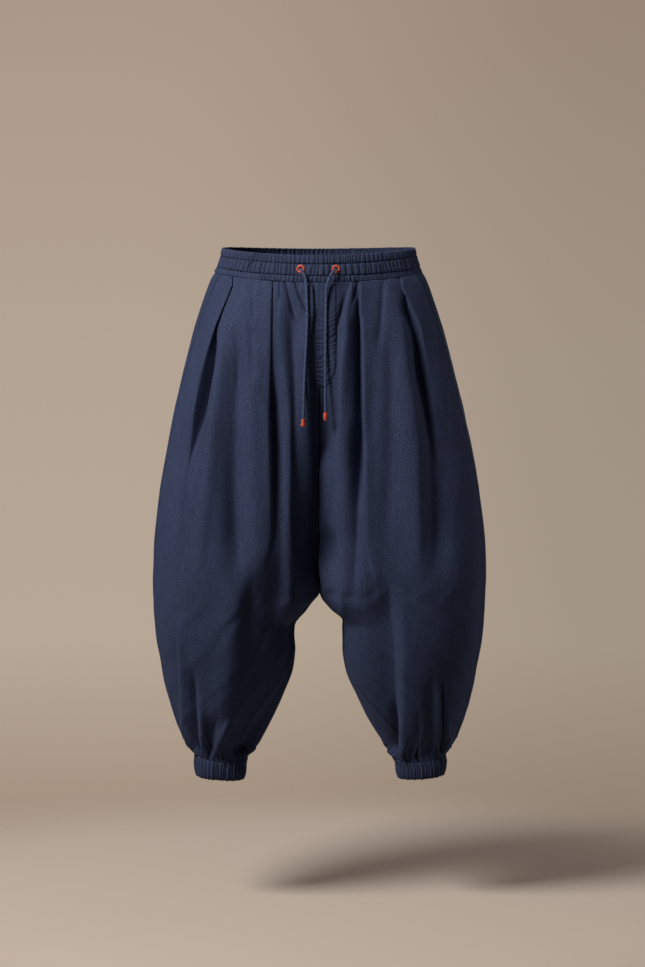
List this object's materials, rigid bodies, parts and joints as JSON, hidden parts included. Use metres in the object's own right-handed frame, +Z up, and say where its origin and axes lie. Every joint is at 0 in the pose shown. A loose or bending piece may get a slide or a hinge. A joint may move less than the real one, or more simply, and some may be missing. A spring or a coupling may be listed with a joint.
{
  "type": "baggy drop-crotch trousers",
  "caption": "Baggy drop-crotch trousers, filled out and empty, with a gathered drawstring waist, knife pleats, mock fly and ribbed elastic cuffs.",
  "frame": {"origin": "centre of the waist opening, at the middle of the cord channel, where the wearer's waist holds the garment", "axes": "+Z up along the body, -Y to the garment's front, +X to the wearer's left"},
  "size_m": [0.576, 0.3149, 0.9166],
  "materials": {
    "cloth": "matt navy slubbed linen-like weave with a soft sheen",
    "cord": "matt braided navy cord",
    "eyelet": "satin coral red",
    "whipping": "coral red whipped thread"
  },
  "bodies": {
    "root": {"waistband": "cloth", "front_left": "cloth", "front_right": "cloth", "back_left": "cloth", "back_right": "cloth", "fly": "cloth", "cuff_left": "cloth", "cuff_right": "cloth", "eyelet_left": "eyelet", "eyelet_right": "eyelet", "drawcord_left": "cord", "drawcord_right": "cord", "cord_tip_left": "whipping", "cord_tip_right": "whipping"}
  },
  "joints": []
}
